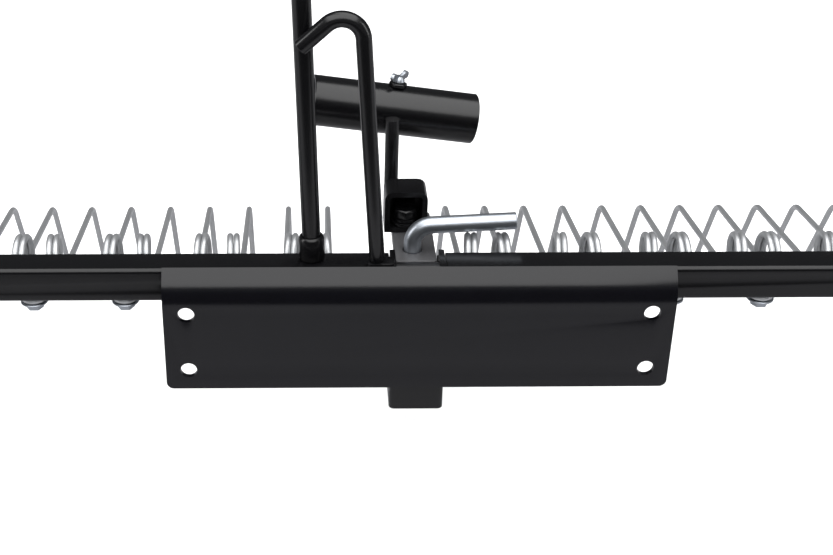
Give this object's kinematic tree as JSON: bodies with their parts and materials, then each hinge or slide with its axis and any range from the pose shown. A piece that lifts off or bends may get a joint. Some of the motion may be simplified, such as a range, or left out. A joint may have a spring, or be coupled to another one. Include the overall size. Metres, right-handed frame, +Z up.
{
  "type": "lawn dethatcher",
  "caption": "Rear-mounted spring-tine lawn rake: bent mount plate, lifting square tine bar with lever and hook, hitch pin and swivelling tube holder.",
  "frame": {"origin": "centre of the four-hole pattern on the front face of the mount plate", "axes": "+X along the tine bar, +Y back from the tractor towards the trailing tines, +Z up; the mount face looks along -Y"},
  "size_m": [1.0286, 0.2139, 0.5135],
  "materials": {
    "black_coat": "satin black powder coat",
    "bright_zinc": "bright bluish zinc plate",
    "spring_steel": "pale plated spring steel wire",
    "soft_black": "matt black plastic and rubber"
  },
  "bodies": {
    "mount": {"mount_plate": "black_coat", "centre_box": "black_coat", "hitch_tongue": "black_coat", "hook_plate": "black_coat", "swivel_bolt": "black_coat", "swivel_nut": "bright_zinc"},
    "rake": {"crossbar_left": "black_coat", "crossbar_right": "black_coat", "pivot_shaft": "spring_steel", "shaft_bolt_left": "bright_zinc", "shaft_bolt_right": "bright_zinc", "shaft_nut_left": "bright_zinc", "shaft_nut_right": "bright_zinc", "end_cap_left": "soft_black", "end_cap_right": "soft_black", "lever_socket": "black_coat", "socket_screw": "bright_zinc", "lever_rod": "black_coat", "lever_grip": "soft_black", "tine_01": "spring_steel", "tine_02": "spring_steel", "tine_03": "spring_steel", "tine_04": "spring_steel", "tine_05": "spring_steel", "tine_06": "spring_steel", "tine_07": "spring_steel", "tine_08": "spring_steel", "tine_09": "spring_steel", "tine_10": "spring_steel", "tine_11": "spring_steel", "tine_12": "spring_steel", "tine_13": "spring_steel", "tine_14": "spring_steel", "tine_15": "spring_steel", "tine_16": "spring_steel", "tine_17": "spring_steel", "tine_18": "spring_steel", "tine_19": "spring_steel", "tine_20": "spring_steel"},
    "hook": {"hook_rod": "black_coat"},
    "pin": {"hitch_pin": "bright_zinc"},
    "holder": {"arch_bracket": "black_coat", "swivel_washer_lower": "black_coat", "swivel_washer_upper": "black_coat", "tee_rod": "black_coat", "tee_tube": "black_coat", "tube_nut": "black_coat"},
    "screw": {"wing_screw": "bright_zinc"}
  },
  "joints": [
    {"name": "rake_lift", "type": "hinge", "parent": "mount", "child": "rake", "pos_m": [0, 0.0245, 0.0273], "axis": [1, 0, 0], "range_deg": [0, 25]},
    {"name": "hook_swing", "type": "hinge", "parent": "mount", "child": "hook", "pos_m": [-0.02256, 0.0174, 0.0413], "axis": [-0.0645, 0, 0.9979], "range_deg": [0, 126]},
    {"name": "pin_lift", "type": "slide", "parent": "mount", "child": "pin", "axis": [0, 0, 1], "range_m": [0, 0.03]},
    {"name": "holder_swivel", "type": "hinge", "parent": "mount", "child": "holder", "pos_m": [-0.004, 0.077, 0.03], "axis": [0, 0, 1], "range_deg": [-45, 45]},
    {"name": "wing_screw_turn", "type": "hinge", "parent": "holder", "child": "screw", "pos_m": [-0.00807, 0.11181, 0.103], "axis": [0.1644, 0.0144, 0.9863], "range_deg": [-360, 360]}
  ],
  "couplings": [
    {"joint": "hook_swing", "follows": "rake_lift", "ratio": 5},
    {"joint": "pin_lift", "follows": "rake_lift", "m_per_rad": 0.068}
  ]
}
